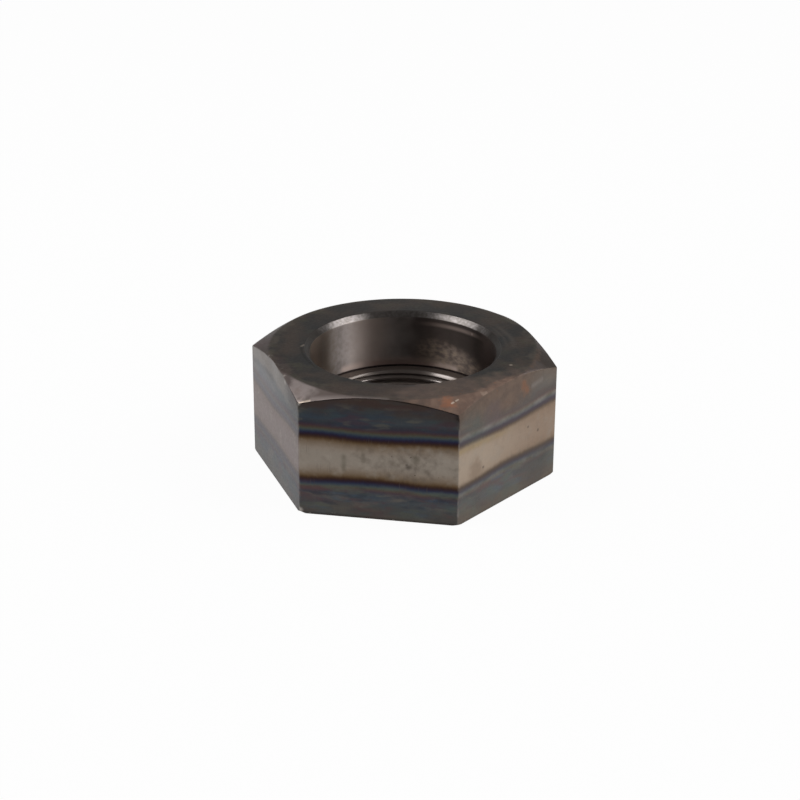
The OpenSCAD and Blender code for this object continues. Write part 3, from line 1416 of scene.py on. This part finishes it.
@dataclass(frozen=True)
class Softbox:
    """A soft lamp that faces the nut, with angles in degrees and sizes in metres."""

    name: str
    azimuth: float
    elevation: float
    width: float
    height: float
    radiance: float
    distance: float = 0.95

    def build(self, target: Vector) -> bpy.types.Object:
        """Places the lamp.

        Args:
            target: Point that it faces.

        Returns:
            The lamp's object.
        """
        rise = math.radians(self.elevation)
        away = Vector(polar(self.azimuth, math.cos(rise), math.sin(rise)))
        lamp = bpy.data.lights.new(self.name, "AREA")
        lamp.shape = "RECTANGLE"
        lamp.size = self.width
        lamp.size_y = self.height
        lamp.energy = self.radiance * math.pi * self.width * self.height
        made = add_object(self.name, lamp)
        made.location = target + away * self.distance
        made.rotation_mode = "QUATERNION"
        made.rotation_quaternion = away.to_track_quat("Z", "Y")
        made.visible_camera = False
        return made


@dataclass(frozen=True)
class Studio:
    """The pale floor, the lamps and the camera, round a point that the lamps face."""

    middle: Vector

    FLOOR_SIDE = 6.0
    FLOOR_GAP = 0.05 * MM
    FLOOR_PAINT = (0.9, 0.9, 0.9, 1)
    # Share of plain white in the floor as the camera sees it and as the steel mirrors it
    SEEN_WHITE = 0.96
    MIRRORED_WHITE = 0.8
    # Radii in metres between which the floor under the nut passes from its shadow into the light
    SHADED_R = 20 * MM
    OPEN_R = 28 * MM
    # Brightness of the room on the camera's side and behind the nut
    FRONT_LEVEL = 0.12
    BACK_LEVEL = 0.32
    # Directions between which it passes from the one to the other, as shares of straight back
    TURNS_BRIGHT = (-0.8, 0.1)
    LAMPS = (
        Softbox("left_softbox", azimuth=193, elevation=45, width=0.66, height=0.62, radiance=3.0),
        Softbox("right_softbox", azimuth=6, elevation=38, width=0.58, height=0.76, radiance=3.3),
    )
    # Nearest distance in millimetres that the camera sees
    NEAREST = 10
    # Camera as fitted to the photograph's outline: angles in degrees, sizes in millimetres
    AZIMUTH = 9.862
    ELEVATION = 23.605
    ROLL = 0.284
    DISTANCE = 453.48
    AIM_RIGHT = -0.58
    AIM_UP = 0.946
    FOCAL_PIXELS = 2007.8
    SENSOR = 36.0

    def floor_material(self) -> bpy.types.Material:
        """Makes a white floor that still takes the nut's shadow.

        Returns:
            The floor's material.
        """
        made = bpy.data.materials.new("pale_floor")
        made.use_nodes = True
        graph = Graph(made.node_tree)
        graph.tree.nodes.clear()
        path = graph.node("ShaderNodeLightPath", output="Is Camera Ray")
        mirrored = path.part("Is Glossy Ray").most(path.part("Is Transmission Ray"))
        place = graph.node("ShaderNodeTexCoord", output="Object")
        in_light = graph.vector("LENGTH", {0: place}, "Value").ramp(self.SHADED_R, self.OPEN_R)
        seen = (path * self.SEEN_WHITE + mirrored * self.MIRRORED_WHITE) * in_light
        lit = graph.node("ShaderNodeBsdfDiffuse", inputs={"Color": self.FLOOR_PAINT})
        white = graph.node("ShaderNodeEmission", inputs={"Color": WHITE, "Strength": 1.0})
        mixed = graph.node("ShaderNodeMixShader", inputs={0: seen, 1: lit, 2: white})
        graph.node("ShaderNodeOutputMaterial", inputs={"Surface": mixed})
        return made

    def build_floor(self) -> None:
        """Lays the floor just under the nut."""
        half = self.FLOOR_SIDE / 2
        corners = [(-half, -half), (half, -half), (half, half), (-half, half)]
        mesh = bpy.data.meshes.new("floor")
        mesh.from_pydata([(x, y, -self.FLOOR_GAP) for x, y in corners], [], [(0, 1, 2, 3)])
        mesh.materials.append(self.floor_material())
        floor = add_object("floor", mesh)

    def build_world(self) -> None:
        """Fills the room with a dim light that falls off towards the camera."""
        world = bpy.data.worlds.new("room")
        world.use_nodes = True
        graph = Graph(world.node_tree)
        graph.tree.nodes.clear()
        direction = graph.node("ShaderNodeTexCoord", output="Generated")
        backward = graph.node("ShaderNodeSeparateXYZ", inputs={0: direction}).part("Y")
        backward = backward.ramp(*self.TURNS_BRIGHT)
        level = self.FRONT_LEVEL + backward * (self.BACK_LEVEL - self.FRONT_LEVEL)
        sky = graph.node("ShaderNodeBackground", inputs={"Color": WHITE, "Strength": level})
        graph.node("ShaderNodeOutputWorld", inputs={"Surface": sky})
        bpy.context.scene.world = world

    def build_camera(self) -> None:
        """Places the camera where the photograph was taken from."""
        turn, rise, roll = (math.radians(a) for a in (self.AZIMUTH, self.ELEVATION, self.ROLL))
        out = math.cos(rise)
        back = Vector((math.sin(turn) * out, -math.cos(turn) * out, math.sin(rise)))
        level = Vector((math.cos(turn), math.sin(turn), 0))
        upright = back.cross(level)
        right = level * math.cos(roll) + upright * math.sin(roll)
        up = upright * math.cos(roll) - level * math.sin(roll)
        aim = self.middle + (right * self.AIM_RIGHT + up * self.AIM_UP) * MM
        camera = bpy.data.cameras.new("camera")
        camera.sensor_width = self.SENSOR
        camera.lens = self.FOCAL_PIXELS / IMAGE_SIDE * self.SENSOR
        camera.clip_start = self.NEAREST * MM
        made = add_object("camera", camera)
        axes = Matrix((right, up, back)).transposed()
        made.matrix_world = Matrix.Translation(aim + back * self.DISTANCE * MM) @ axes.to_4x4()
        bpy.context.scene.camera = made

    def build(self) -> None:
        """Builds the floor, the light and the camera."""
        self.build_floor()
        self.build_world()
        for lamp in self.LAMPS:
            lamp.build(self.middle)
        self.build_camera()
        bpy.context.scene.view_settings.view_transform = "Standard"


def main() -> None:
    """Builds the nut and its studio, and reports each piece."""
    logging.basicConfig(level=logging.INFO, format="%(name)s: %(message)s")
    sizes = NutSizes.from_frame()
    nut = LockNut(sizes, Columns()).build()
    LOG.info("built %s", nut.name)
    Studio(Vector((0, 0, sizes.height / 2))).build()
    LOG.info("built the studio")


if __name__ == "__main__":
    main()
